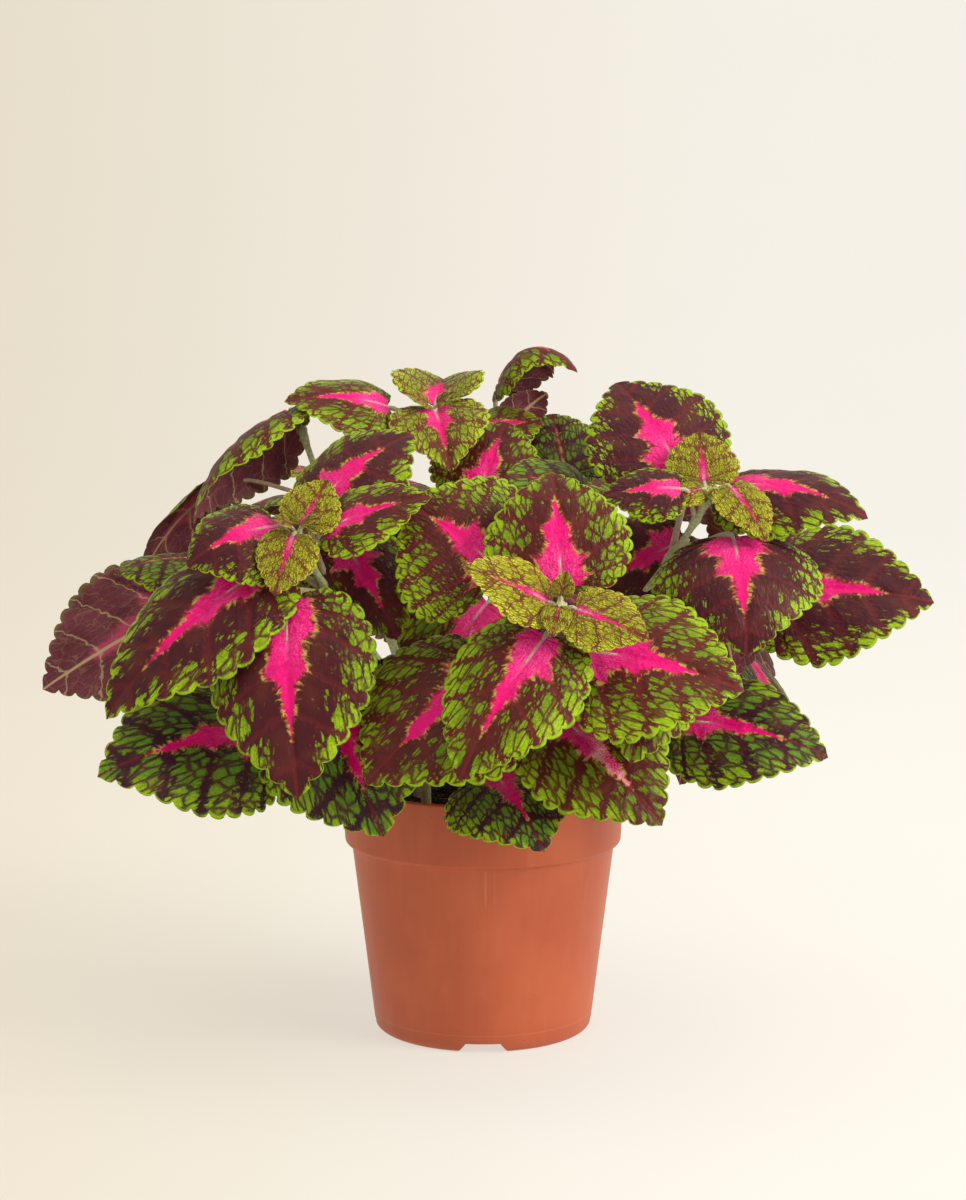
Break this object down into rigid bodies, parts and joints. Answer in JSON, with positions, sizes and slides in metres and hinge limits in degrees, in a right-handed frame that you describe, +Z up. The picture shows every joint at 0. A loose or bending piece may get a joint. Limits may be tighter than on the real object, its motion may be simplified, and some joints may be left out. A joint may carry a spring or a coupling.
{
  "type": "potted coleus",
  "caption": "Bushy coleus house plant with scalloped pink, maroon and green leaves on several stems, in a round terracotta-coloured plastic nursery pot.",
  "frame": {"origin": "on the pot's axis, at the surface that the pot stands on, which is also the centre of the underside of the part's box", "axes": "+Z up, the plant's widest spread along X, and its front, as pictured, facing -Y"},
  "size_m": [0.3685, 0.2907, 0.2903],
  "materials": {
    "pot": "satin terracotta-coloured plastic",
    "soil": "loose peat, matt",
    "foliage": "softly hairy leaf, satin sheen"
  },
  "bodies": {
    "root": {"pot": "pot", "soil": "soil", "shoot_front": "foliage", "shoot_left": "foliage", "shoot_right": "foliage", "shoot_middle": "foliage", "shoot_crown": "foliage", "shoot_peak": "foliage", "shoot_side": "foliage", "shoot_back": "foliage", "shoot_back_left": "foliage", "shoot_back_right": "foliage", "shoot_far_left": "foliage", "shoot_far_right": "foliage"}
  },
  "joints": []
}
